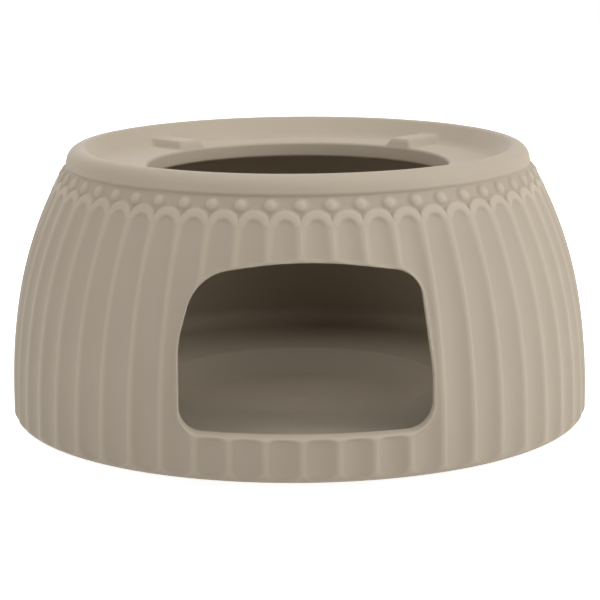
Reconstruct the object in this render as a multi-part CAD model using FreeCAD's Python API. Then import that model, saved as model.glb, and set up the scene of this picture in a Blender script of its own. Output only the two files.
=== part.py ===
import FreeCAD, Part
import math
import os

# Teapot warmer: one slip-cast and glazed ceramic ring that a teapot stands on, with a tealight inside.
# Millimetres, +Z up, origin on the floor under the middle of the foot ring, window facing -Y.

# Overall form
belly_radius = 78.0            # over the ridges, at the widest ring
belly_level = 9.8              # height of the widest ring
wall_thickness = 5.4           # skirt wall, from ridge to cavity
lower_arc_radius = 150.0       # slow curve of the skirt above the belly
arc_joint_level = 34.8         # where the slow curve turns into the tighter one
neck_inset = 13.7              # how far the skirt has come in at the neck level
neck_level = 68.2
crest_inset = 19.8             # from the belly's radius in to the highest circle of the rim
crest_level = 76.0

# Foot and lower edge
foot_inset = 16.0              # from the belly's radius in to the foot ring
foot_ring_width = 6.0
foot_recess = 1.0              # hollow inside the foot ring
foot_bevel = 0.8
skirt_bottom_level = 2.6       # lower edge of the skirt, above the table
corner_radius = 3.5

# Rim, shelf and round top opening
shoulder_lower_level = 71.7    # lower edge of the plain shoulder band
crest_outer_radius = 2.6       # rounding of the crest towards the shoulder band
crest_inner_radius = 2.0       # rounding of the crest towards the shelf
rim_slope_angle = 45.0         # inner slope of the rim, from level
shelf_level = 70.8
shelf_thickness = 4.2
shelf_fillet = 4.0
opening_radius = 40.5
opening_edge_radius = 0.8
roof_fillet = 3.0              # cavity corner under the shelf

# Cavity floor and candle dish
floor_level = 11.0
floor_fillet = 5.0
floor_rise_share = 1.5         # height of the straight start of the cavity wall, in fillet radii
dish_top_radius = 38.0
dish_wall_run = 7.0            # how far the dish's wall leans in on its way down
dish_bottom_level = 5.0
dish_edge_radius = 1.0
dish_fillet = 3.0

# Flutes
flute_count = 54
flute_cut_radius = 8.5         # radius of each hollow across the flute
flute_depth_belly = 0.95
flute_depth_head = 0.58
flute_head_peak_level = 66.4   # top of the round head of each hollow
flute_wedge_margin = 0.05      # degrees left free between neighbouring hollows, outside the wall
first_bead_turn = -0.8         # degrees from the middle of the window to the nearest bead
niche_width_share = 1.5        # half width of the flute's tool below its head, in hollow radii
niche_start_share = 0.3        # where that tool starts, in belly radii from the axis

# Bead channel with the scalloped upper edge of the skirt
channel_depth = 0.75
channel_top_level = 71.3
scallop_radius = 4.2
scallop_peak_level = 68.1
bead_ball_radius = 2.5         # each bead is the cap of a ball
bead_rise = 0.95               # height of that cap above the channel floor
bead_level = 69.2
channel_tool_reach = 2.0       # how far the channel's tools reach past the wall, in channel depths

# Raised rests for the pot, on the shelf
rest_count = 4
rest_start_angle = 45.0
rest_width = 8.0
rest_height = 2.1
rest_edge_radius = 1.0
rest_start_share = 0.8         # where each block starts inside the opening, in opening radii
rest_sink_share = 0.5          # how deep it starts inside the shelf, in shelf thicknesses
rest_crest_share = 0.5         # how far it ends inside the crest, in radii of the crest's inner rounding

# Front window, seen square on: the sill, the sides and the arched top
window_sill_level = 15.2
window_half_width = 31.2
window_left_bend_level = 36.0
window_right_bend_level = 28.0
window_left_shoulder_inset = 4.7
window_right_shoulder_inset = 3.2
window_left_shoulder_drop = 4.5
window_right_shoulder_drop = 4.4
window_apex_level = 57.0
window_sill_corner_radius = 5.0
window_side_bend_radius = 30.0
window_left_corner_radius = 9.0
window_right_corner_radius = 7.0
window_apex_bend_radius = 50.0
window_edge_radius = 1.4
tool_reach_share = 1.5         # how far the window's and flutes' tools reach from the axis, in belly radii
edge_margin = 0.1

neck_radius = belly_radius - neck_inset
crest_radius = belly_radius - crest_inset
foot_radius = belly_radius - foot_inset
dish_bottom_radius = dish_top_radius - dish_wall_run
pitch_angle = 360.0 / flute_count
bead_start_angle = first_bead_turn - 90.0
flute_start_angle = bead_start_angle + 0.5 * pitch_angle
AXIS = FreeCAD.Vector(0, 0, 1)
CENTRE = FreeCAD.Vector(0, 0, 0)


def point(radius, level):
    """A point of the section plane, which is the XZ plane."""
    return FreeCAD.Vector(radius, 0, level)


def line(start, end):
    return Part.LineSegment(start, end).toShape()


def arc_about(centre, radius, start_angle, end_angle):
    """An arc in the section plane, with angles in degrees from +X towards +Z."""
    def at(angle):
        turn = math.radians(angle)
        return centre + point(radius * math.cos(turn), radius * math.sin(turn))
    return Part.Arc(at(start_angle), at(0.5 * (start_angle + end_angle)), at(end_angle)).toShape()


def rounded_path(corners):
    """Straight edges through (point, radius) pairs, with an arc of that radius at each inner corner."""
    edges = []
    here = corners[0][0]
    for index in range(1, len(corners) - 1):
        corner, radius = corners[index]
        back = (corners[index - 1][0] - corner).normalize()
        ahead = (corners[index + 1][0] - corner).normalize()
        if radius > 0:
            half_angle = 0.5 * back.getAngle(ahead)
            reach = radius / math.tan(half_angle)
            bisector = (back + ahead).normalize()
            middle = corner + bisector * (radius / math.sin(half_angle) - radius)
            arc_start = corner + back * reach
            arc_end = corner + ahead * reach
            edges.append(line(here, arc_start))
            edges.append(Part.Arc(arc_start, middle, arc_end).toShape())
            here = arc_end
        else:
            edges.append(line(here, corner))
            here = corner
    edges.append(line(here, corners[-1][0]))
    return edges


def closed_rounded_wire(corners):
    """A closed wire through (point, radius) pairs, starting in the middle of its last side."""
    start = (corners[-1][0] + corners[0][0]) * 0.5
    return Part.Wire(rounded_path([(start, 0)] + corners + [(start, 0)]))


def copies_around(shape, count, start_angle=0.0):
    placed = []
    for index in range(count):
        copy = shape.copy()
        copy.rotate(CENTRE, AXIS, start_angle + index * 360.0 / count)
        placed.append(copy)
    return placed


def bend_through(start, inward, end):
    """Centre and radius of the arc that leaves start square to inward and passes through end."""
    chord = end - start
    radius = chord.dot(chord) / (2.0 * chord.dot(inward))
    return start + inward * radius, radius


# The skirt's meridian: a vertical stretch below the belly, a slow arc and a tighter arc above it
lower_centre = point(belly_radius - lower_arc_radius, belly_level)
joint_angle = math.degrees(math.asin((arc_joint_level - belly_level) / lower_arc_radius))
joint_outward = point(math.cos(math.radians(joint_angle)), math.sin(math.radians(joint_angle)))
joint = lower_centre + joint_outward * lower_arc_radius
inner_centre = point(crest_radius, crest_level - crest_inner_radius)
upper_centre, upper_arc_radius = bend_through(joint, joint_outward * -1.0, point(neck_radius, neck_level))


def upper_angle(level, inset=0.0):
    """Angle on the upper arc at a level, with the arc moved inwards by inset."""
    return math.degrees(math.asin((level - upper_centre.z) / (upper_arc_radius - inset)))


def lower_angle(level, inset=0.0):
    """Angle on the lower arc at a level, with the arc moved inwards by inset."""
    return math.degrees(math.asin((level - lower_centre.z) / (lower_arc_radius - inset)))


def outward(angle):
    return point(math.cos(math.radians(angle)), math.sin(math.radians(angle)))


def upper_point(angle, inset=0.0):
    return upper_centre + outward(angle) * (upper_arc_radius - inset)


def tangent_corner(start, angle, level):
    """Where the tangent at start, on an arc at this angle, meets a level."""
    along = outward(angle + 90)
    return start + along * ((level - start.z) / along.z)


def foot_and_edge():
    """Underside, foot ring and rounded lower edge, up to the belly."""
    ring_inside = foot_radius - foot_ring_width
    return rounded_path([
        (point(0, foot_recess), 0),
        (point(ring_inside, foot_recess), 0),
        (point(ring_inside + foot_bevel, 0), 0),
        (point(foot_radius - foot_bevel, 0), 0),
        (point(foot_radius, foot_bevel), 0),
        (point(foot_radius, skirt_bottom_level), 0),
        (point(belly_radius, skirt_bottom_level), corner_radius),
        (point(belly_radius, belly_level), 0)])


def skirt_and_rim():
    """Outside of the skirt, shoulder band and crest, down to the start of the rim's inner slope."""
    shoulder_angle = upper_angle(shoulder_lower_level)
    shoulder_start = upper_point(shoulder_angle)
    outer_centre = point(crest_radius, crest_level - crest_outer_radius)
    away = shoulder_start - outer_centre
    crest_start_angle = math.degrees(math.atan2(away.z, away.x) + math.acos(crest_outer_radius / away.Length))
    crest_start = outer_centre + outward(crest_start_angle) * crest_outer_radius
    return [
        arc_about(lower_centre, lower_arc_radius, 0, joint_angle),
        arc_about(upper_centre, upper_arc_radius, joint_angle, shoulder_angle),
        line(shoulder_start, crest_start),
        arc_about(outer_centre, crest_outer_radius, crest_start_angle, 90),
        arc_about(inner_centre, crest_inner_radius, 90, 90 + rim_slope_angle)]


def shelf_and_cavity():
    """Rim slope, shelf, opening wall, roof, cavity wall, floor and candle dish, in to the axis."""
    slope_start = inner_centre + outward(90 + rim_slope_angle) * crest_inner_radius
    slope_run = (slope_start.z - shelf_level) / math.tan(math.radians(rim_slope_angle))
    roof_level = shelf_level - shelf_thickness
    roof_angle = upper_angle(roof_level - 2 * roof_fillet, wall_thickness)
    roof_start = upper_point(roof_angle, wall_thickness)
    base_angle = lower_angle(floor_level + floor_rise_share * floor_fillet, wall_thickness)
    base_start = lower_centre + outward(base_angle) * (lower_arc_radius - wall_thickness)
    top = rounded_path([
        (slope_start, 0),
        (point(slope_start.x - slope_run, shelf_level), shelf_fillet),
        (point(opening_radius, shelf_level), opening_edge_radius),
        (point(opening_radius, roof_level), opening_edge_radius),
        (tangent_corner(roof_start, roof_angle, roof_level), roof_fillet),
        (roof_start, 0)])
    wall = [
        arc_about(upper_centre, upper_arc_radius - wall_thickness, roof_angle, joint_angle),
        arc_about(lower_centre, lower_arc_radius - wall_thickness, joint_angle, base_angle)]
    floor = rounded_path([
        (base_start, 0),
        (tangent_corner(base_start, base_angle, floor_level), floor_fillet),
        (point(dish_top_radius, floor_level), dish_edge_radius),
        (point(dish_bottom_radius, dish_bottom_level), dish_fillet),
        (point(0, dish_bottom_level), 0)])
    return top + wall + floor


def plain_body():
    """The turned form, before the window, flutes and beads."""
    edges = foot_and_edge() + skirt_and_rim() + shelf_and_cavity()
    edges.append(line(point(0, dish_bottom_level), point(0, foot_recess)))
    section = Part.Face(Part.Wire(edges))
    return section.revolve(CENTRE, AXIS, 360)


def window_cutter():
    """A prism with the window's outline, through the front wall."""
    def corner(across, level, radius):
        return FreeCAD.Vector(across, 0, level), radius
    left_shoulder = window_left_shoulder_inset - window_half_width
    right_shoulder = window_half_width - window_right_shoulder_inset
    outline = closed_rounded_wire([
        corner(window_half_width, window_sill_level, window_sill_corner_radius),
        corner(window_half_width, window_right_bend_level, window_side_bend_radius),
        corner(right_shoulder, window_apex_level - window_right_shoulder_drop, window_right_corner_radius),
        corner(0, window_apex_level, window_apex_bend_radius),
        corner(left_shoulder, window_apex_level - window_left_shoulder_drop, window_left_corner_radius),
        corner(-window_half_width, window_left_bend_level, window_side_bend_radius),
        corner(-window_half_width, window_sill_level, window_sill_corner_radius)])
    return Part.Face(outline).extrude(FreeCAD.Vector(0, -tool_reach_share * belly_radius, 0))


def window_edges(body):
    """The edges of the window, inside and outside the wall."""
    found = []
    for edge in body.Edges:
        box = edge.BoundBox
        in_front = box.YMax < -window_half_width
        beside = max(abs(box.XMin), abs(box.XMax)) < window_half_width + edge_margin
        in_height = box.ZMin > window_sill_level - edge_margin and box.ZMax < window_apex_level
        through_wall = box.YLength > 0.5 * wall_thickness and max(box.XLength, box.ZLength) < edge_margin
        if in_front and beside and in_height and not through_wall:
            found.append(edge)
    return found


def wedge(half_angle):
    """A wedge about +X, from the axis outwards, over the whole height."""
    length = tool_reach_share * belly_radius
    across = length * math.tan(math.radians(half_angle))
    base = Part.Face(Part.makePolygon([
        CENTRE, FreeCAD.Vector(length, -across, 0), FreeCAD.Vector(length, across, 0), CENTRE]))
    return base.extrude(AXIS * crest_level)


def flute_tube(head_on_path):
    """A tube along the meridian, whose lower side is the hollow of a flute."""
    path_reach = flute_cut_radius - flute_depth_belly
    start = point(belly_radius + path_reach, 0)
    turn = lower_centre + joint_outward * (lower_arc_radius + path_reach)
    path_centre, path_radius = bend_through(turn, joint_outward * -1.0, head_on_path)
    away = head_on_path - path_centre
    end_angle = math.degrees(math.atan2(away.z, away.x)) + math.degrees(flute_cut_radius / path_radius)
    path = Part.Wire([
        line(start, point(start.x, belly_level)),
        arc_about(lower_centre, lower_arc_radius + path_reach, 0, joint_angle),
        arc_about(path_centre, path_radius, joint_angle, end_angle)])
    ring = Part.Wire(Part.Circle(start, AXIS, flute_cut_radius).toShape())
    return path.makePipeShell([ring], True, False).toNurbs()


def flute_niche(head, angle, half_width):
    """A prism square to the wall that is wide below the head and ends above it in a half circle."""
    up = outward(angle + 90)
    side = FreeCAD.Vector(0, 1, 0)
    wide = side * (niche_width_share * flute_cut_radius)
    narrow = side * half_width
    down = up * -crest_level
    outline = Part.Wire([
        line(head - wide + down, head + wide + down),
        line(head + wide + down, head + wide),
        line(head + wide, head + narrow),
        Part.Arc(head + narrow, head + up * half_width, head - narrow).toShape(),
        line(head - narrow, head - wide),
        line(head - wide, head - wide + down)])
    niche = Part.Face(outline)
    niche.translate(outward(angle) * ((niche_start_share - 1) * belly_radius))
    return niche.extrude(outward(angle) * belly_radius)


def flute_cutter():
    """One hollow, kept to its own wedge of the wall and rounded off at the head."""
    half_width = math.sqrt(2 * flute_cut_radius * flute_depth_head - flute_depth_head ** 2)
    head_angle = upper_angle(flute_head_peak_level) - math.degrees(half_width / upper_arc_radius)
    head = upper_point(head_angle)
    tube = flute_tube(head + outward(head_angle) * (flute_cut_radius - flute_depth_head))
    hollow = tube.common(wedge(0.5 * pitch_angle - flute_wedge_margin))
    return hollow.common(flute_niche(head, head_angle, half_width))


def bead_channel_cutter():
    """The channel under the shoulder band, whose lower side leaves a row of round scallops standing."""
    disc_angle = upper_angle(scallop_peak_level) - math.degrees(scallop_radius / upper_arc_radius)
    top_angle = upper_angle(channel_top_level)
    outside = channel_tool_reach * channel_depth
    section = Part.Face(Part.makePolygon([
        upper_point(disc_angle, channel_depth), upper_point(top_angle, channel_depth),
        upper_point(top_angle, -outside), upper_point(disc_angle, -outside),
        upper_point(disc_angle, channel_depth)]))
    bay = section.revolve(CENTRE, AXIS, pitch_angle)
    bay.rotate(CENTRE, AXIS, -0.5 * pitch_angle)
    base = upper_point(disc_angle, outside)
    disc = Part.makeCylinder(scallop_radius, 3.0 * outside, base, outward(disc_angle))
    bay = bay.cut(copies_around(disc, flute_count, -0.5 * pitch_angle)[:2])
    bays = copies_around(bay, flute_count, bead_start_angle)
    return bays[0].multiFuse(bays[1:])


def bead():
    centre_inset = channel_depth + bead_ball_radius - bead_rise
    centre = upper_point(upper_angle(bead_level), centre_inset)
    return Part.makeSphere(bead_ball_radius, centre)


def pot_rest():
    """One raised rest on the shelf, flush with the opening and running into the rim."""
    start_radius = rest_start_share * opening_radius
    end_radius = crest_radius - rest_crest_share * crest_inner_radius
    sink = rest_sink_share * shelf_thickness
    block = Part.makeBox(end_radius - start_radius, rest_width, rest_height + sink)
    block.translate(FreeCAD.Vector(start_radius, -0.5 * rest_width, shelf_level - sink))
    return block


def pot_rests():
    """The rests, with rounded upper edges, cut off where the round opening passes."""
    block = pot_rest()
    top_edges = [edge for edge in block.Edges if edge.BoundBox.ZMin > shelf_level + rest_height - edge_margin]
    block = block.makeFillet(rest_edge_radius, top_edges)
    opening = Part.makeCylinder(opening_radius, crest_level)
    return copies_around(block.cut(opening), rest_count, rest_start_angle)


def warmer_body():
    body = plain_body()
    body = body.cut(window_cutter())
    body = body.makeFillet(window_edge_radius, window_edges(body))
    body = body.cut(bead_channel_cutter())
    body = body.cut(copies_around(flute_cutter(), flute_count, flute_start_angle))
    body = body.fuse(copies_around(bead(), flute_count, bead_start_angle))
    body = body.fuse(pot_rests())
    return body.removeSplitter()


os.makedirs("parts", exist_ok=True)
shape = warmer_body()
solid = shape.Solids[0]
print("solids", len(shape.Solids), "valid", solid.isValid(), "litres", round(solid.Volume / 1e6, 4))
solid.exportStep("parts/warmer_body.step")
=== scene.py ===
import bpy
import math
import numpy as np
from mathutils import Matrix, Vector
from mathutils.geometry import delaunay_2d_cdt


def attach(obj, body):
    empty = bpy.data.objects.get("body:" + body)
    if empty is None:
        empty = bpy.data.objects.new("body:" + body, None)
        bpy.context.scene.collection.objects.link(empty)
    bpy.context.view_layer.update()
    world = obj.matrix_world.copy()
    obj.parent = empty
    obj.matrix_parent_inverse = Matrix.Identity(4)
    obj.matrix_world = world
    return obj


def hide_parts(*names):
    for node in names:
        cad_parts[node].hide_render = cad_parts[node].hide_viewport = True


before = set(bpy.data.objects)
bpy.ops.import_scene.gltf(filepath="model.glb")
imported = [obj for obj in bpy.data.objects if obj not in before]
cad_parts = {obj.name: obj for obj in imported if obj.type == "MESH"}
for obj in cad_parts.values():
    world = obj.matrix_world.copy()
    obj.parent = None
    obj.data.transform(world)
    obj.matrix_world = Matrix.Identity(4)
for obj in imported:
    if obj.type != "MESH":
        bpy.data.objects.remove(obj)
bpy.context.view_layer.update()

# Teapot warmer in satin greige glaze, seen from the front and a little above, on white.
# The body is one slip-cast piece, so it is one closed surface, built ring by ring. Its form
# repeats the CAD solid, with every edge melted soft by the glaze.
# Lengths are in millimetres and become metres where the mesh is made. Angles are in degrees:
# round the axis from +X, with the window at the front, and in a section from outward to up.
MM = 0.001
FRONT = -90.0

# Overall form
BELLY_RADIUS = 78.0
BELLY_LEVEL = 9.8
WALL = 5.4
LOWER_ARC = 150.0
ARC_JOINT_LEVEL = 34.8
NECK = (64.3, 68.2)
CREST = (58.2, 76.0)

# Foot and lower edge
FOOT_RADIUS = 62.0
FOOT_RING_WIDTH = 6.0
FOOT_RECESS = 1.0
FOOT_BEVEL = 0.8
SKIRT_BOTTOM = 2.6
CORNER_RADIUS = 3.5
LOWER_EDGE_SOFTNESS = 0.3
UNDERSIDE_SET_IN = 2.0

# Rim, shelf and round top opening
SHOULDER_LEVEL = 71.7
SHOULDER_LIP = 0.8
SHOULDER_OVERHANG = 0.1
CREST_OUTER_RADIUS = 3.9
CREST_INNER_RADIUS = 2.0
SLOPE_ANGLE = 45.0
SHELF_LEVEL = 70.8
SHELF_THICKNESS = 4.2
SHELF_FILLET = 4.0
OPENING_RADIUS = 40.5
OPENING_EDGE = 0.8
ROOF_LEVEL = SHELF_LEVEL - SHELF_THICKNESS
ROOF_FILLET = 3.0
ROOF_LIP_WIDTH = 4.0

# Cavity floor and candle dish
FLOOR_LEVEL = 11.0
FLOOR_FILLET = 5.0
DISH_TOP_RADIUS = 38.0
DISH_BOTTOM_RADIUS = 31.0
DISH_LEVEL = 5.0
DISH_EDGE = 1.0
DISH_FILLET = 3.0
DISH_MARGIN = 3.0
INNERMOST_RADIUS = 3.0

# Where the cavity's side wall meets its fillets: below the roof and above the floor
WALL_TO_ROOF = 2.0 * ROOF_FILLET
WALL_TO_FLOOR = 1.5 * FLOOR_FILLET

# Flutes, scallops and beads
FLUTE_COUNT = 54
PITCH = 360.0 / FLUTE_COUNT
FLUTE_RADIUS = 8.5
FLUTE_DEPTH_BELLY = 0.95
FLUTE_DEPTH_HEAD = 0.58
FLUTE_PEAK_LEVEL = 66.4
RIDGE_SOFTNESS = 0.4
HEAD_SOFTNESS = 1.3
HEAD_BLEND = 1.5
HEAD_END_SHARE = 0.9
CHANNEL_DEPTH = 0.75
CHANNEL_TOP = 71.3
SCALLOP_RADIUS = 4.2
SCALLOP_PEAK_LEVEL = 68.1
SCALLOP_SOFTNESS = 1.0
BEAD_BALL = 2.5
BEAD_RISE = 0.95
BEAD_LEVEL = 69.2
BEAD_SOFTNESS = 0.22
FIRST_BEAD_TURN = -0.8
BEAD_START = FRONT + FIRST_BEAD_TURN

# Raised rests for the pot
REST_COUNT = 4
REST_APART = 360.0 / REST_COUNT
REST_START = 45.0
REST_WIDTH = 8.0
REST_HEIGHT = 2.1
REST_SIDE_RUN = 2.0
REST_END_RUN = 1.8
REST_BLEND = 0.5

# Window, seen square on: its corners, each with the radius that rounds it
WINDOW_CORNERS = [
    ((31.2, 14.4), 6.5), ((31.2, 28.0), 30.0), ((28.0, 52.6), 8.0), ((0.0, 57.0), 90.0),
    ((-26.5, 52.5), 13.0), ((-31.2, 36.0), 30.0), ((-31.2, 14.4), 5.5)]
WINDOW_EDGE = 1.4
WINDOW_CLEARANCE = 0.45

# Columns of the mesh: in each flute, all round, and beside and between the rests
SKIRT_COLUMNS = 12
RIM_COLUMNS = 22
PLAIN_COLUMNS = 216
REST_COLUMNS = [0.0, 1.2, 2.2, 2.6, 3.0, 3.4, 3.8, 4.2, 4.6, 5.0, 5.4, 5.8, 6.4, 7.4]
REST_HALF_ANGLE = 14.0
COLUMNS_BETWEEN_RESTS = 39

# Rows of the mesh: lengths between them, and where the skirt's finer rows begin
SKIRT_STEP = 1.5
RIM_START = 61.5
RIM_BAND = 10.5
RIM_STEP = 0.34
TOP_STEP = 0.6
WINDOW_STEP = 0.7

# Degrees between the points of each arc
PLAIN_TURN = 12.0
LOWER_EDGE_TURN = 9.0
WINDOW_TURN = 3.0
WINDOW_EDGE_TURN = 10.0
CREST_OUTER_TURN = 8.0
CREST_INNER_TURN = 9.0
ROOF_TURN = 9.0
UPPER_WALL_TURN = 1.2
LOWER_WALL_TURN = 0.8
FLOOR_TURN = 7.5

# Small amounts that count as nothing
LEVEL_TOLERANCE = 1e-6
WELD_DISTANCE = 1e-7
FLAT_SIDE = 1e-12

# What delaunay_2d_cdt is asked for: only the triangles inside the outlines
INSIDE_OUTLINES = 1

# Depth of the glaze on plain surfaces, and inside the cavity, where it is painted shade: the whole
# cavity gets the full, darker tint because shade falls there. Elsewhere it is the relief's.
PLAIN_GLAZE = 0.18
CAVITY_PAINTED_SHADE = 0.4

# Look of the glaze. Tints go from thin glaze to full glaze, and noise sizes are per metre. The full
# tint is also the painted shade inside the cavity.
THIN_TINT = (0.476, 0.403, 0.314, 1.0)
POOLED_GLAZE_AND_SHADE_TINT = (0.402, 0.340, 0.264, 1.0)
TINT_DEPTHS = (0.05, 0.4)
ROUGHNESS = 0.6
GLAZE_IOR = 1.4
CLOUD_SCALE = 28.0
CLOUD_DETAIL = 4.0
CLOUD_SPREAD = (0.3, 0.7)
CLOUD_SHADES = (0.97, 1.03)
RIPPLE_SCALE = 90.0
RIPPLE_DETAIL = 2.0
RIPPLE_STRENGTH = 0.25
RIPPLE_HEIGHT = 0.0004

# Table and lights, in metres and watts: name, place, width and power of each soft box
WHITE = (1.0, 1.0, 1.0, 1.0)
TABLE_SIZE = 2.6
TABLE_COLOUR = (0.8, 0.8, 0.8, 1.0)
TABLE_GLOW = 0.9
LIT_POINT = (0.0, 0.0, 0.04)
SOFT_BOXES = [
    ("overhead", (0.10, 0.10, 1.10), 1.2, 5.3),
    ("key", (0.80, -0.60, 0.70), 1.0, 5.1),
    ("right", (1.00, -0.25, 0.42), 0.9, 6.1),
    ("left_top", (-0.75, -0.15, 1.00), 0.8, 2.6),
    ("fill", (-0.95, -0.70, 0.45), 1.0, 5.5),
    ("back", (-0.30, 1.00, 0.60), 0.9, 2.0)]

# Camera: distance and height as in the photo, a little left of the window's middle
CAMERA_DISTANCE = 624.0
CAMERA_RISE = 11.47
CAMERA_TURN = 1.31
CAMERA_ROLL = 0.42
LOOK_ACROSS = 0.28
LOOK_LEVEL = 32.8
LENS = 137.34
SENSOR_WIDTH = 36.0
NEAREST_SEEN = 0.01


# Soft steps, arcs and rounded paths
def smooth(value):
    """A soft step from 0 to 1."""
    t = np.clip(value, 0.0, 1.0)
    return t * t * (3.0 - 2.0 * t)


def soft_positive(value, softness):
    """The positive part of a value, with a rounded corner at nought."""
    return 0.5 * (value + np.sqrt(value * value + softness * softness))


def turned(radius, degrees):
    """A vector of a given length and direction."""
    return radius * math.cos(math.radians(degrees)), radius * math.sin(math.radians(degrees))


def arc(centre, radius, start, end, step):
    """Points on an arc, no more than a step in degrees apart."""
    count = max(2, int(math.ceil(abs(end - start) / step)))
    angles = np.radians(np.linspace(start, end, count + 1))
    across, up = radius * np.cos(angles), radius * np.sin(angles)
    return np.stack([centre[0] + across, centre[1] + up], 1)


def bend_through(start, inward, end):
    """Centre and radius of the arc that leaves start square to inward and passes through end."""
    chord = np.subtract(end, start)
    radius = chord @ chord / (2.0 * (chord @ inward))
    return start + inward * radius, radius


def rounded(corners, step=PLAIN_TURN):
    """Points along straight sides through (corner, radius) pairs, each inner corner rounded."""
    points = [np.array(corners[0][0], float)]
    for (before, _), (corner, radius), (after, _) in zip(corners, corners[1:], corners[2:]):
        corner = np.array(corner, float)
        back = np.subtract(before, corner) / np.linalg.norm(np.subtract(before, corner))
        ahead = np.subtract(after, corner) / np.linalg.norm(np.subtract(after, corner))
        half = 0.5 * math.acos(np.clip(back @ ahead, -1.0, 1.0))
        middle = corner + (back + ahead) / np.linalg.norm(back + ahead) * radius / math.sin(half)
        start = corner + back * radius / math.tan(half)
        sweep = math.pi - 2.0 * half
        side = np.sign(back[0] * ahead[1] - back[1] * ahead[0])
        first = math.atan2(*(start - middle)[::-1])
        count = max(2, int(math.ceil(math.degrees(sweep) / step)))
        for turn in np.linspace(0.0, -side * sweep, count + 1):
            outward = np.array([math.cos(first + turn), math.sin(first + turn)])
            points.append(middle + radius * outward)
    points.append(np.array(corners[-1][0], float))
    return np.array(points)


def around(radius, angles, height):
    """Points at angles round the axis."""
    turn = np.radians(angles)
    return np.stack([radius * np.cos(turn), radius * np.sin(turn), height + 0.0 * turn], -1)


def square_on(radius, angles, level):
    """The same points as (across, level, depth), where a depth under nought is at the front."""
    return around(radius, angles, level)[:, [0, 2, 1]]


# The meridian of the skirt: a lower arc from the belly, and an upper arc that runs on to the neck
LOWER_CENTRE = np.array([BELLY_RADIUS - LOWER_ARC, BELLY_LEVEL])
JOINT_ANGLE = math.degrees(math.asin((ARC_JOINT_LEVEL - BELLY_LEVEL) / LOWER_ARC))
JOINT_OUTWARD = np.array(turned(1.0, JOINT_ANGLE))
JOINT = LOWER_CENTRE + JOINT_OUTWARD * LOWER_ARC
UPPER_CENTRE, UPPER_ARC = bend_through(JOINT, -JOINT_OUTWARD, NECK)


def upper_angle(level, inset=0.0):
    """Angle on the upper arc at a level."""
    return np.degrees(np.arcsin((level - UPPER_CENTRE[1]) / (UPPER_ARC - inset)))


def on_upper_arc(angle, inset=0.0):
    """Point of the section at an angle on the upper arc, or further in by an inset."""
    return UPPER_CENTRE + np.array(turned(UPPER_ARC - inset, angle))


def along_upper_arc(turn, start):
    """How far along the upper arc one angle lies above another."""
    return np.radians(turn - start) * UPPER_ARC


def skirt_radius(level):
    """Radius of the plain skirt at a level, without the flutes."""
    level = np.asarray(level, float)
    low = LOWER_CENTRE[0] + np.sqrt(LOWER_ARC ** 2 - np.maximum(level - BELLY_LEVEL, 0.0) ** 2)
    high = UPPER_CENTRE[0] + np.sqrt(UPPER_ARC ** 2 - (level - UPPER_CENTRE[1]) ** 2)
    return np.where(level < ARC_JOINT_LEVEL, low, high)


def skirt_tilt(level):
    """Angle in radians of the skirt's outward direction above the horizon."""
    low = np.arcsin(np.maximum(level - BELLY_LEVEL, 0.0) / LOWER_ARC)
    high = np.arcsin((level - UPPER_CENTRE[1]) / UPPER_ARC)
    return np.where(level < ARC_JOINT_LEVEL, low, high)


# The skirt's relief
HEAD_HALF_WIDTH = math.sqrt(2 * FLUTE_RADIUS * FLUTE_DEPTH_HEAD - FLUTE_DEPTH_HEAD ** 2)
HEAD_ANGLE = upper_angle(FLUTE_PEAK_LEVEL) - math.degrees(HEAD_HALF_WIDTH / UPPER_ARC)
SCALLOP_ANGLE = upper_angle(SCALLOP_PEAK_LEVEL) - math.degrees(SCALLOP_RADIUS / UPPER_ARC)
BEAD_ANGLE = upper_angle(BEAD_LEVEL)
BEAD_HALF_WIDTH = math.sqrt(BEAD_BALL ** 2 - (BEAD_BALL - BEAD_RISE) ** 2)
CHANNEL_ANGLE = upper_angle(CHANNEL_TOP)


def across_flute(angle, radius):
    """Distance from the middle of the nearest flute, along the wall."""
    phase = (angle - BEAD_START) / PITCH - 0.5
    return (phase - np.round(phase)) * math.radians(PITCH) * radius


def flute_hollow(across, depth):
    """Depth of a flute, which is part of a tube, across its width."""
    inside = np.sqrt(np.maximum(FLUTE_RADIUS ** 2 - across ** 2, 0.0)) - (FLUTE_RADIUS - depth)
    return soft_positive(inside, RIDGE_SOFTNESS)


def flute_sunk(across, turn):
    """Depth of the flutes, which grow shallower upward and end in round heads."""
    rise = 1.0 - np.cos(np.radians(np.maximum(turn - JOINT_ANGLE, 0.0)))
    full_rise = 1.0 - math.cos(math.radians(HEAD_ANGLE - JOINT_ANGLE))
    depth = FLUTE_DEPTH_BELLY + (FLUTE_DEPTH_HEAD - FLUTE_DEPTH_BELLY) * rise / full_rise
    above = along_upper_arc(turn, HEAD_ANGLE)
    inside = HEAD_HALF_WIDTH - np.hypot(across, np.maximum(above, 0.0))
    head = 1.0 - smooth(above / HEAD_BLEND) * (1.0 - smooth(inside / HEAD_SOFTNESS))
    head = head * (1.0 - smooth(above / HEAD_HALF_WIDTH - HEAD_END_SHARE))
    return flute_hollow(across, depth) * head


def channel_sunk(across, turn):
    """Depth of the bead channel, whose lower side is the scallops' edge."""
    above = along_upper_arc(turn, SCALLOP_ANGLE)
    outside = np.hypot(across, np.maximum(above, 0.0)) - SCALLOP_RADIUS
    depth = CHANNEL_DEPTH * smooth(outside / SCALLOP_SOFTNESS + 0.5)
    return depth * smooth(above / SCALLOP_SOFTNESS)


def bead_height(across, turn, radius):
    """Height of the beads over the channel: caps of balls with soft feet, between the flutes."""
    half_pitch = 0.5 * math.radians(PITCH) * radius
    away = np.hypot(half_pitch - np.abs(across), along_upper_arc(turn, BEAD_ANGLE))
    cap = np.sqrt(np.maximum(BEAD_BALL ** 2 - away ** 2, 0.0)) - (BEAD_BALL - BEAD_RISE)
    return soft_positive(cap, BEAD_SOFTNESS) * (1.0 - smooth((away - BEAD_HALF_WIDTH) / BEAD_RISE))


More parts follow.
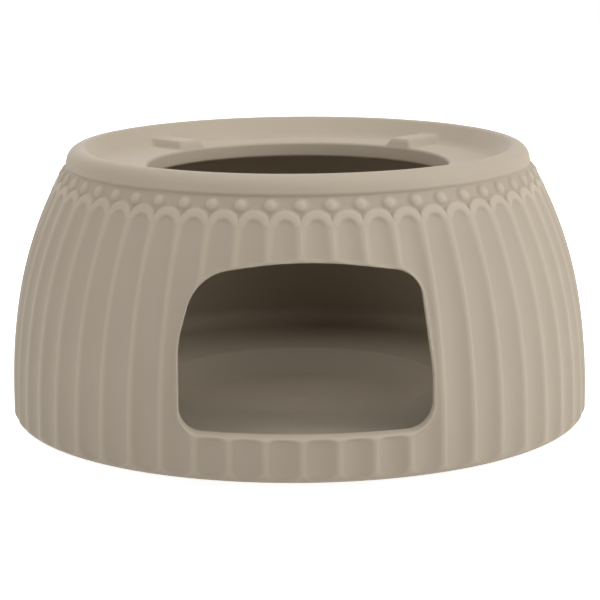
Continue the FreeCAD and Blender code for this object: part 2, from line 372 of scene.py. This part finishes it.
def relief(angle, level):
    """How far the surface lies below the plain skirt: flutes and channel, less the beads."""
    radius = skirt_radius(level)
    across = across_flute(angle, radius)
    turn = np.degrees(skirt_tilt(level))
    return flute_sunk(across, turn) + channel_sunk(across, turn) - bead_height(across, turn, radius)


def on_skirt(angle, level, share=1.0):
    """Points of the finished skirt at angles and levels, with a share of the relief."""
    sunk = relief(angle, level) * share
    tilt = skirt_tilt(level)
    radius = skirt_radius(level) - sunk * np.cos(tilt)
    return around(radius, angle, level - sunk * np.sin(tilt))


class Skin:
    """Gathers the points and faces of one closed surface, ring by ring."""

    def __init__(self):
        self.points = []
        self.glaze_and_shade_depths = []
        self.faces = []
        self.size = 0

    def add(self, points, depth=PLAIN_GLAZE):
        """Adds points with their depth of glaze, which inside the cavity stands for painted shade.
        Returns their numbers.
        """
        points = np.asarray(points, float).reshape(-1, 3)
        numbers = np.arange(self.size, self.size + len(points))
        self.points.append(points)
        self.glaze_and_shade_depths.append(np.broadcast_to(depth, len(points)).astype(float))
        self.size += len(points)
        return numbers

    def ring(self, radius, height, angles, depth=PLAIN_GLAZE):
        """Adds a ring round the axis."""
        return self.add(around(radius, angles, height), depth)

    def face(self, corners, outward=True):
        """Adds a face, whose corners run the other way round where it isn't outward."""
        self.faces.append(tuple(corners if outward else corners[::-1]))

    def strip(self, lower, upper):
        """Quads between two rings of the same length, outward side out when angles grow."""
        for i in range(len(lower)):
            j = (i + 1) % len(lower)
            self.face((lower[i], lower[j], upper[j], upper[i]))

    def strips(self, rings):
        """Quads between each ring and the next."""
        for lower, upper in zip(rings, rings[1:]):
            self.strip(lower, upper)

    def stitch(self, lower, lower_angles, upper, upper_angles):
        """Triangles between two rings with different angles, both starting near the same one."""
        i, j = 0, 0
        lower_end = np.append(lower_angles, lower_angles[0] + 360.0)
        upper_end = np.append(upper_angles, upper_angles[0] + 360.0)
        while i < len(lower) or j < len(upper):
            a, b = lower[i % len(lower)], upper[j % len(upper)]
            if j == len(upper) or (i < len(lower) and lower_end[i + 1] <= upper_end[j + 1]):
                i += 1
                self.face((a, lower[i % len(lower)], b))
            else:
                j += 1
                self.face((a, upper[j % len(upper)], b))

    def cap(self, ring, height):
        """A fan to a point on the axis."""
        middle = self.add([(0.0, 0.0, height)])[0]
        for i in range(len(ring)):
            self.face((ring[i], ring[(i + 1) % len(ring)], middle))

    def mesh(self, name):
        """The object, in metres, of the points that the faces use."""
        corners = np.concatenate([np.array(face, int) for face in self.faces])
        used, places = np.unique(corners, return_inverse=True)
        faces = np.split(places, np.cumsum([len(face) for face in self.faces])[:-1])
        points = np.concatenate(self.points)[used] * MM
        mesh = bpy.data.meshes.new(name)
        mesh.from_pydata(points.tolist(), [], [face.tolist() for face in faces])
        mesh.shade_smooth()
        # Per point: the depth of glaze, or inside the cavity the painted shade that darkens the
        # tint
        layer = mesh.attributes.new("glaze_depth_and_shade", "FLOAT", "POINT")
        layer.data.foreach_set("value", np.concatenate(self.glaze_and_shade_depths)[used].astype(np.float32))
        mesh.validate()
        made = bpy.data.objects.new(name, mesh)
        bpy.context.scene.collection.objects.link(made)
        return made


# The window: its outline, and how walls are opened round it
def window_outline():
    """Points along the window's outline, evenly spaced, with the direction away from it."""
    start = ((0.0, WINDOW_CORNERS[0][0][1]), 0.0)
    points = rounded([start] + WINDOW_CORNERS + [start], WINDOW_TURN)
    steps = np.linalg.norm(np.diff(points, axis=0), axis=1)
    along = np.concatenate([[0.0], np.cumsum(steps)])
    even = np.linspace(0.0, along[-1], int(along[-1] / WINDOW_STEP), endpoint=False)
    outline = np.stack([np.interp(even, along, points[:, k]) for k in (0, 1)], 1)
    tangent = np.roll(outline, -1, axis=0) - np.roll(outline, 1, axis=0)
    away = np.stack([tangent[:, 1], -tangent[:, 0]], 1)
    return outline, away / np.linalg.norm(away, axis=1)[:, None]


OUTLINE, OUTLINE_AWAY = window_outline()


def window_distance(across, level):
    """Distance outside the window's outline, negative inside it."""
    spots = np.stack([across, level], -1).reshape(-1, 1, 2)
    start, end = OUTLINE[None], np.roll(OUTLINE, -1, axis=0)[None]
    side = end - start
    share = np.clip(((spots - start) * side).sum(-1) / (side * side).sum(-1), 0.0, 1.0)
    gap = np.linalg.norm(spots - start - share[..., None] * side, axis=-1).min(1)
    crosses = (start[..., 1] > spots[..., 1]) != (end[..., 1] > spots[..., 1])
    climb = np.where(side[..., 1] == 0.0, FLAT_SIDE, side[..., 1])
    slope = (spots[..., 1] - start[..., 1]) / climb
    crossed = crosses & (spots[..., 0] < start[..., 0] + slope * side[..., 0])
    inside = crossed.sum(1) % 2 == 1
    return np.where(inside, -gap, gap).reshape(np.shape(across))


def cell_corners(i, j, columns):
    """The four grid corners of a cell, outward side out."""
    k = (j + 1) % columns
    return [(i, j), (i, k), (i + 1, k), (i + 1, j)]


def border_of(cut):
    """The grid's sides, as pairs of corners, that lie between cut and kept cells."""
    uses = {}
    for i, j in np.ndindex(*cut.shape):
        if cut[i, j]:
            corners = cell_corners(i, j, cut.shape[1])
            for a, b in zip(corners, corners[1:] + corners[:1]):
                side = (min(a, b), max(a, b))
                uses[side] = uses.get(side, 0) + 1
    return [side for side, times in uses.items() if times == 1]


def wall_with_window(skin, rows, flat, edge_row, edge_flat, outward):
    """Quads of a wall grid, with triangles that join it to the row of points round the window.

    rows holds the point numbers, level by level; flat holds their places seen square on.
    """
    near = window_distance(flat[..., 0], flat[..., 1]) <= WINDOW_EDGE + WINDOW_CLEARANCE
    dropped = near & (flat[..., 2] < 0.0)
    cut = dropped | np.roll(dropped, -1, axis=1)
    cut = cut[:-1] | cut[1:]
    for i, j in np.ndindex(*cut.shape):
        if not cut[i, j]:
            skin.face([rows[corner] for corner in cell_corners(i, j, cut.shape[1])], outward)
    border = border_of(cut)
    places = {}
    for side in border:
        for corner in side:
            places.setdefault(corner, len(places))
    first, count = len(places), len(edge_row)
    numbers = [rows[corner] for corner in places] + list(edge_row)
    spots = [Vector(flat[corner][:2]) for corner in places] + [Vector(spot) for spot in edge_flat]
    sides = [(places[a], places[b]) for a, b in border]
    sides += [(first + i, first + (i + 1) % count) for i in range(count)]
    made = delaunay_2d_cdt(spots, sides, [], INSIDE_OUTLINES, WELD_DISTANCE)
    faces, origin = made[2], made[3]
    for face in faces:
        corners = [origin[corner][0] for corner in face]
        if min(corners) < first:
            skin.face([numbers[corner] for corner in corners], outward)


def outer_edge_row(skin, spot, sunk, share):
    """A row of the window's outer edge, sunk into the wall and with a share of its relief."""
    angle = FRONT + np.degrees(np.arcsin(spot[:, 0] / skirt_radius(spot[:, 1])))
    points = on_skirt(angle, spot[:, 1], share)
    points[:, 1] += sunk
    return skin.add(points, share * relief(angle, spot[:, 1]))


def inner_edge_row(skin, spot, sunk, share):
    """A row of the window's inner edge, sunk into the cavity's wall."""
    across, level = spot[:, 0], spot[:, 1]
    depth = -np.sqrt(cavity_radius(level) ** 2 - across ** 2) - sunk
    # The cavity's side of the window edge takes the cavity's painted shade
    return skin.add(np.stack([across, depth, level], -1), share * CAVITY_PAINTED_SHADE)


def window_side(skin, outside):
    """Rows from the middle of the window's edge over its rounding onto the wall.

    Returns the row on the wall, its place seen square on, and the row in the window's throat.
    """
    edge_row = outer_edge_row if outside else inner_edge_row
    turns = np.radians(np.arange(0.0, 90.0 + WINDOW_EDGE_TURN, WINDOW_EDGE_TURN))
    reach = WINDOW_EDGE * (1.0 - np.cos(turns))
    rows = []
    for distance in reach:
        spot = OUTLINE + OUTLINE_AWAY * distance
        left = WINDOW_EDGE - distance
        sunk = WINDOW_EDGE - math.sqrt(max(WINDOW_EDGE ** 2 - left ** 2, 0.0))
        rows.append(edge_row(skin, spot, sunk, smooth(distance / WINDOW_EDGE)))
    for near, far in zip(rows, rows[1:]):
        skin.strip(far, near) if outside else skin.strip(near, far)
    return rows[-1], OUTLINE + OUTLINE_AWAY * reach[-1], rows[0]


# The fluted skirt
def column_angles(per_pitch):
    """Angles of the columns, closer together at the ridges between flutes."""
    share = 0.5 * np.sin(np.pi * (np.arange(per_pitch) / per_pitch - 0.5))
    pitches = np.arange(FLUTE_COUNT)[:, None] + 0.5 + share[None]
    return (BEAD_START + pitches * PITCH).ravel()


def lower_edge(skin, angles):
    """Rings of the rounded lower edge, where the flutes run out."""
    across = across_flute(angles, BELLY_RADIUS)
    fluted = BELLY_RADIUS - flute_hollow(across, FLUTE_DEPTH_BELLY)
    centre = (BELLY_RADIUS - CORNER_RADIUS, SKIRT_BOTTOM + CORNER_RADIUS)
    rings = []
    for plain, height in arc(centre, CORNER_RADIUS, -90.0, 0.0, LOWER_EDGE_TURN):
        softness = LOWER_EDGE_SOFTNESS * (centre[1] - height) / CORNER_RADIUS
        gap = plain - fluted
        radius = 0.5 * (plain + fluted - np.sqrt(gap * gap + softness * softness))
        rings.append(skin.ring(radius, height, angles, plain - radius))
    return rings


def rim_band(skin, below, below_angles):
    """The finer rows of scallops and beads up to the groove. Returns the top one and its angles."""
    angles = column_angles(RIM_COLUMNS)
    turns = np.linspace(upper_angle(RIM_START), CHANNEL_ANGLE, int(RIM_BAND / RIM_STEP))[1:]
    rings = []
    for turn in turns:
        level = UPPER_CENTRE[1] + UPPER_ARC * math.sin(math.radians(turn))
        rings.append(skin.add(on_skirt(angles, level), relief(angles, level)))
    skin.stitch(below, below_angles, rings[0], angles)
    skin.strips(rings)
    return rings[-1], angles


def skirt(skin):
    """The wall from its lower edge to the groove under the shoulder.

    Returns the lowest ring and its angles, the top ring and its angles, and the window's throat.
    """
    angles = column_angles(SKIRT_COLUMNS)
    edge_rings = lower_edge(skin, angles)
    skin.strips(edge_rings)
    count = int((RIM_START - BELLY_LEVEL) / SKIRT_STEP)
    levels = np.linspace(BELLY_LEVEL, RIM_START, count + 1)
    rows = [skin.add(on_skirt(angles, level), relief(angles, level)) for level in levels]
    flat = [square_on(skirt_radius(level), angles, level) for level in levels]
    skin.strip(edge_rings[-1], rows[0])
    edge_row, edge_flat, throat = window_side(skin, True)
    wall_with_window(skin, np.array(rows), np.array(flat), edge_row, edge_flat, True)
    rim_ring, rim_angles = rim_band(skin, rows[-1], angles)
    return edge_rings[0], angles, rim_ring, rim_angles, throat


# The cavity
def cavity_section():
    """The cavity's section from the roof down to the floor, in four parts."""
    roof_turn = upper_angle(ROOF_LEVEL - WALL_TO_ROOF, WALL)
    roof_start = on_upper_arc(roof_turn, WALL)
    roof_along = np.array(turned(1.0, roof_turn + 90.0))
    roof_corner = roof_start + roof_along * (ROOF_LEVEL - roof_start[1]) / roof_along[1]
    base_rise = FLOOR_LEVEL + WALL_TO_FLOOR - BELLY_LEVEL
    base_turn = math.degrees(math.asin(base_rise / (LOWER_ARC - WALL)))
    base_start = LOWER_CENTRE + np.array(turned(LOWER_ARC - WALL, base_turn))
    base_along = np.array(turned(1.0, base_turn + 90.0))
    base_corner = base_start + base_along * (FLOOR_LEVEL - base_start[1]) / base_along[1]
    roof_end = (OPENING_RADIUS + OPENING_EDGE, ROOF_LEVEL)
    floor_end = (DISH_TOP_RADIUS + DISH_EDGE, FLOOR_LEVEL)
    roof = rounded([(roof_end, 0), (roof_corner, ROOF_FILLET), (roof_start, 0)], ROOF_TURN)
    upper = arc(UPPER_CENTRE, UPPER_ARC - WALL, roof_turn, JOINT_ANGLE, UPPER_WALL_TURN)
    lower = arc(LOWER_CENTRE, LOWER_ARC - WALL, JOINT_ANGLE, base_turn, LOWER_WALL_TURN)
    base = rounded([(base_start, 0), (base_corner, FLOOR_FILLET), (floor_end, 0)], FLOOR_TURN)
    return roof, upper, lower, base


ROOF_PATH, UPPER_PATH, LOWER_PATH, BASE_PATH = cavity_section()
WALL_PATH = np.concatenate([ROOF_PATH[2:-1], UPPER_PATH, LOWER_PATH[1:], BASE_PATH[1:-2]])
WALL_FALLS = np.diff(WALL_PATH[:, 1]) < -LEVEL_TOLERANCE
WALL_PATH = WALL_PATH[np.concatenate([[True], WALL_FALLS])]


def cavity_radius(level):
    """Radius of the cavity's wall at a level."""
    return np.interp(level, WALL_PATH[::-1, 1], WALL_PATH[::-1, 0])


def cavity(skin, angles):
    """The cavity wall with the window's inner edge. Returns its top and bottom ring and throat."""
    rows, flat = [], []
    for radius, level in WALL_PATH[::-1]:
        # The cavity wall's rings carry painted shade, which darkens them to the full tint
        rows.append(skin.ring(radius, level, angles, CAVITY_PAINTED_SHADE))
        flat.append(square_on(radius, angles, level))
    edge_row, edge_flat, throat = window_side(skin, False)
    wall_with_window(skin, np.array(rows), np.array(flat), edge_row, edge_flat, False)
    return rows[-1], rows[0], throat


# The rim and shelf, with the rests
def lip_and_crest():
    """Section from the groove round the shoulder's lip to the top of the crest."""
    shoulder = on_upper_arc(upper_angle(SHOULDER_LEVEL))
    centre = np.array([CREST[0], CREST[1] - CREST_OUTER_RADIUS])
    away = shoulder - centre
    lean = math.acos(CREST_OUTER_RADIUS / np.linalg.norm(away))
    first = math.degrees(math.atan2(away[1], away[0]) + lean)
    crest_start = centre + np.array(turned(CREST_OUTER_RADIUS, first))
    down = (shoulder - crest_start) / np.linalg.norm(shoulder - crest_start)
    groove = on_upper_arc(CHANNEL_ANGLE, CHANNEL_DEPTH)
    overhang = shoulder + down * SHOULDER_OVERHANG
    lip = rounded([(groove, 0), (overhang, SHOULDER_LIP), (crest_start, 0)])
    crest = arc(centre, CREST_OUTER_RADIUS, first, 90.0, CREST_OUTER_TURN)
    return np.concatenate([lip[1:-1], crest])


def slope_and_shelf():
    """Section from the crest down the slope, along the shelf and into the opening."""
    centre = np.array([CREST[0], CREST[1] - CREST_INNER_RADIUS])
    slope_start = centre + np.array(turned(CREST_INNER_RADIUS, 90.0 + SLOPE_ANGLE))
    run = (slope_start[1] - SHELF_LEVEL) / math.tan(math.radians(SLOPE_ANGLE))
    shelf = rounded([
        (slope_start, 0), ((slope_start[0] - run, SHELF_LEVEL), SHELF_FILLET),
        ((OPENING_RADIUS, SHELF_LEVEL), OPENING_EDGE), ((OPENING_RADIUS, ROOF_LEVEL), OPENING_EDGE),
        ((OPENING_RADIUS + OPENING_EDGE + ROOF_LIP_WIDTH, ROOF_LEVEL), 0)])
    crest = arc(centre, CREST_INNER_RADIUS, 90.0, 90.0 + SLOPE_ANGLE, CREST_INNER_TURN)
    return np.concatenate([crest[1:], divided(shelf)[1:]])


def divided(path):
    """The same path with points added on the shelf and rim slope, where the rests rise."""
    points = [path[0]]
    for start, end in zip(path, path[1:]):
        on_top = end[1] >= SHELF_LEVEL
        count = int(np.linalg.norm(end - start) / TOP_STEP) if on_top else 1
        for share in np.linspace(0.0, 1.0, max(count, 1) + 1)[1:]:
            points.append(start + (end - start) * share)
    return np.array(points)


def top_columns(radius):
    """Angles of the columns of the rim and shelf, which run along the sides of the rests."""
    across = np.concatenate([-np.array(REST_COLUMNS[:0:-1]), REST_COLUMNS])
    beside = np.degrees(np.arcsin(across / radius))
    between = np.linspace(REST_HALF_ANGLE, REST_APART - REST_HALF_ANGLE, COLUMNS_BETWEEN_RESTS)
    group = np.concatenate([beside, between])
    first = REST_START - REST_APART
    angles = np.concatenate([first + REST_APART * number + group for number in range(REST_COUNT)])
    leading = COLUMNS_BETWEEN_RESTS - COLUMNS_BETWEEN_RESTS // 2
    return np.concatenate([angles[-leading:] - 360.0, angles[:-leading]])


def rest_rise(across, radius):
    """Height of a rest over the shelf, which falls off softly to both sides and to the opening."""
    inside = 0.5 * (REST_WIDTH + REST_SIDE_RUN) - np.abs(across)
    end = smooth((radius - OPENING_RADIUS) / REST_END_RUN)
    return REST_HEIGHT * smooth(inside / REST_SIDE_RUN) * end


def top_ring(skin, radius, height):
    """One ring of the rim and shelf, lifted where it crosses the rests."""
    angles = top_columns(radius)
    from_rest = (angles - REST_START + 0.5 * REST_APART) % REST_APART - 0.5 * REST_APART
    from_rest = np.radians(from_rest)
    near = (np.abs(from_rest) < np.radians(REST_HALF_ANGLE)) & (radius < CREST[0])
    rise = np.where(near, rest_rise(np.sin(from_rest) * radius, radius), 0.0)
    if height >= SHELF_LEVEL:
        lift = soft_positive(SHELF_LEVEL + rise - height, REST_BLEND) * smooth(rise / REST_BLEND)
    elif height >= SHELF_LEVEL - OPENING_EDGE - LEVEL_TOLERANCE:
        lift = rise
    else:
        lift = 0.0
    return skin.add(around(radius, angles, height + lift)), angles


def rim_and_shelf(skin, groove_ring, groove_angles):
    """The surface from the groove to under the shelf. Returns its last ring and its angles."""
    section = np.concatenate([lip_and_crest(), slope_and_shelf()])
    previous, angles = top_ring(skin, *section[0])
    skin.stitch(groove_ring, groove_angles, previous, angles)
    for radius, height in section[1:]:
        ring, angles = top_ring(skin, radius, height)
        skin.strip(previous, ring)
        previous = ring
    return previous, angles


# The dish, the foot and the whole body
def dish(skin, wall_bottom, angles):
    """The cavity's floor and the candle dish."""
    section = rounded([
        ((DISH_TOP_RADIUS + DISH_MARGIN, FLOOR_LEVEL), 0),
        ((DISH_TOP_RADIUS, FLOOR_LEVEL), DISH_EDGE),
        ((DISH_BOTTOM_RADIUS, DISH_LEVEL), DISH_FILLET),
        ((INNERMOST_RADIUS, DISH_LEVEL), 0)])
    rings = [wall_bottom]
    for radius, height in np.concatenate([BASE_PATH[-2:-1], section]):
        # The floor and dish carry the cavity's painted shade
        rings.append(skin.ring(radius, height, angles, CAVITY_PAINTED_SHADE))
    skin.strips(rings)
    skin.cap(rings[-1], DISH_LEVEL)


def underside(skin, low_ring, low_angles, angles):
    """The underside with its foot ring."""
    inner = FOOT_RADIUS - FOOT_RING_WIDTH
    section = [
        (BELLY_RADIUS - CORNER_RADIUS - UNDERSIDE_SET_IN, SKIRT_BOTTOM),
        (FOOT_RADIUS, SKIRT_BOTTOM), (FOOT_RADIUS, FOOT_BEVEL), (FOOT_RADIUS - FOOT_BEVEL, 0.0),
        (inner + FOOT_BEVEL, 0.0), (inner, FOOT_RECESS), (INNERMOST_RADIUS, FOOT_RECESS)]
    rings = [skin.ring(radius, height, angles) for radius, height in section]
    skin.stitch(rings[0], angles, low_ring, low_angles)
    for outer, further_in in zip(rings, rings[1:]):
        skin.strip(further_in, outer)
    skin.cap(rings[-1][::-1], FOOT_RECESS)


def warmer():
    """The whole glazed body as one closed surface."""
    skin = Skin()
    angles = BEAD_START + 360.0 * np.arange(PLAIN_COLUMNS) / PLAIN_COLUMNS
    low_ring, low_angles, groove_ring, groove_angles, outer_throat = skirt(skin)
    shelf_end, shelf_angles = rim_and_shelf(skin, groove_ring, groove_angles)
    wall_top, wall_bottom, inner_throat = cavity(skin, angles)
    # The shelf's underside carries the cavity's painted shade
    roof_end = skin.ring(*ROOF_PATH[1], angles, CAVITY_PAINTED_SHADE)
    skin.stitch(shelf_end, shelf_angles, roof_end, angles)
    skin.strip(roof_end, wall_top)
    dish(skin, wall_bottom, angles)
    skin.strip(outer_throat, inner_throat)
    underside(skin, low_ring, low_angles, angles)
    return skin.mesh("warmer_skin")


# The glaze's material
def object_noise(tree, where, scale, detail):
    """Procedural noise that stays with the object."""
    noise = tree.nodes.new("ShaderNodeTexNoise")
    noise.inputs["Scale"].default_value = scale
    noise.inputs["Detail"].default_value = detail
    tree.links.new(where.outputs["Object"], noise.inputs["Vector"])
    return noise.outputs["Fac"]


def map_range(tree, value, spread, results=(0.0, 1.0)):
    """The value, with the ends of its spread moved to the ends of the results."""
    mapped = tree.nodes.new("ShaderNodeMapRange")
    for name, amount in zip(("From Min", "From Max", "To Min", "To Max"), spread + results):
        mapped.inputs[name].default_value = amount
    tree.links.new(value, mapped.inputs["Value"])
    return mapped.outputs["Result"]


def glaze_colour(tree, where):
    """Lighter where the glaze runs thin, darker where it gathers and as painted shade inside the
    cavity, with faint clouds all over.
    """
    # Depth of glaze, which inside the cavity is painted shade
    depth = tree.nodes.new("ShaderNodeAttribute")
    depth.attribute_name = "glaze_depth_and_shade"
    tint = tree.nodes.new("ShaderNodeMix")
    tint.data_type = "RGBA"
    tint.inputs["A"].default_value = THIN_TINT
    tint.inputs["B"].default_value = POOLED_GLAZE_AND_SHADE_TINT
    tree.links.new(map_range(tree, depth.outputs["Fac"], TINT_DEPTHS), tint.inputs["Factor"])
    cloud = object_noise(tree, where, CLOUD_SCALE, CLOUD_DETAIL)
    clouded = tree.nodes.new("ShaderNodeMix")
    clouded.data_type = "RGBA"
    clouded.blend_type = "MULTIPLY"
    clouded.inputs["Factor"].default_value = 1.0
    tree.links.new(tint.outputs["Result"], clouded.inputs["A"])
    tree.links.new(map_range(tree, cloud, CLOUD_SPREAD, CLOUD_SHADES), clouded.inputs["B"])
    return clouded.outputs["Result"]


def glaze():
    """Satin greige glaze with a fine ripple."""
    material = bpy.data.materials.new("greige_glaze")
    material.use_nodes = True
    tree = material.node_tree
    shader = tree.nodes["Principled BSDF"]
    shader.inputs["Roughness"].default_value = ROUGHNESS
    shader.inputs["IOR"].default_value = GLAZE_IOR
    where = tree.nodes.new("ShaderNodeTexCoord")
    tree.links.new(glaze_colour(tree, where), shader.inputs["Base Color"])
    bump = tree.nodes.new("ShaderNodeBump")
    bump.inputs["Strength"].default_value = RIPPLE_STRENGTH
    bump.inputs["Distance"].default_value = RIPPLE_HEIGHT
    ripple = object_noise(tree, where, RIPPLE_SCALE, RIPPLE_DETAIL)
    tree.links.new(ripple, bump.inputs["Height"])
    tree.links.new(bump.outputs["Normal"], shader.inputs["Normal"])
    return material


# Table, surroundings, lights and camera
def seen_directly(tree):
    """1 for rays from the camera and for rays that mirror or pass through a surface, else 0."""
    path = tree.nodes.new("ShaderNodeLightPath")
    total = path.outputs["Is Camera Ray"]
    for kind in ("Is Glossy Ray", "Is Transmission Ray"):
        either = tree.nodes.new("ShaderNodeMath")
        either.operation = "ADD"
        either.use_clamp = True
        tree.links.new(total, either.inputs[0])
        tree.links.new(path.outputs[kind], either.inputs[1])
        total = either.outputs["Value"]
    return total


def table():
    """White table top that keeps a soft contact shadow."""
    bpy.ops.mesh.primitive_plane_add(size=TABLE_SIZE, location=(0.0, 0.0, 0.0))
    plane = bpy.context.object
    plane.name = "table_top"
    material = bpy.data.materials.new("white_table")
    material.use_nodes = True
    tree = material.node_tree
    shader = tree.nodes["Principled BSDF"]
    shader.inputs["Base Color"].default_value = TABLE_COLOUR
    shader.inputs["Roughness"].default_value = 1.0
    shader.inputs["Specular IOR Level"].default_value = 0.0
    shader.inputs["Emission Color"].default_value = WHITE
    glow = tree.nodes.new("ShaderNodeMath")
    glow.operation = "MULTIPLY"
    glow.inputs[1].default_value = TABLE_GLOW
    tree.links.new(seen_directly(tree), glow.inputs[0])
    tree.links.new(glow.outputs["Value"], shader.inputs["Emission Strength"])
    plane.data.materials.append(material)


def surroundings():
    """White all round, but only where it is seen directly: the soft boxes do the lighting."""
    world = bpy.data.worlds.new("studio")
    bpy.context.scene.world = world
    world.use_nodes = True
    tree = world.node_tree
    tree.nodes.clear()
    output = tree.nodes.new("ShaderNodeOutputWorld")
    white = tree.nodes.new("ShaderNodeBackground")
    white.inputs["Color"].default_value = WHITE
    tree.links.new(seen_directly(tree), white.inputs["Strength"])
    tree.links.new(white.outputs["Background"], output.inputs["Surface"])


def soft_box(name, place, size, watts):
    """A square soft light that faces the warmer."""
    data = bpy.data.lights.new(name, "AREA")
    data.size = size
    data.energy = watts
    lamp = bpy.data.objects.new(name, data)
    bpy.context.scene.collection.objects.link(lamp)
    lamp.location = place
    lamp.rotation_mode = "QUATERNION"
    lamp.rotation_quaternion = (Vector(LIT_POINT) - Vector(place)).to_track_quat("-Z", "Y")


def camera():
    """The photo's view: turned round the axis, raised, and rolled a little."""
    turn, rise, roll = (math.radians(v) for v in (CAMERA_TURN, CAMERA_RISE, CAMERA_ROLL))
    right = Vector((math.cos(turn), -math.sin(turn), 0.0))
    ahead = Vector((
        math.sin(turn) * math.cos(rise), math.cos(turn) * math.cos(rise), -math.sin(rise)))
    up = right.cross(ahead)
    rolled_right = right * math.cos(roll) - up * math.sin(roll)
    rolled_up = right * math.sin(roll) + up * math.cos(roll)
    target = right * LOOK_ACROSS + Vector((0.0, 0.0, LOOK_LEVEL))
    data = bpy.data.cameras.new("photo_camera")
    data.sensor_width = SENSOR_WIDTH
    data.lens = LENS
    data.clip_start = NEAREST_SEEN
    made = bpy.data.objects.new("photo_camera", data)
    bpy.context.scene.collection.objects.link(made)
    facing = Matrix((rolled_right, rolled_up, -ahead)).transposed().to_4x4()
    made.matrix_world = Matrix.Translation((target - ahead * CAMERA_DISTANCE) * MM) @ facing
    bpy.context.scene.camera = made


body = warmer()
body.data.materials.append(glaze())
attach(body, "root")
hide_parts("warmer_body")
table()
surroundings()
for box in SOFT_BOXES:
    soft_box(*box)
camera()
bpy.context.scene.view_settings.view_transform = "Standard"
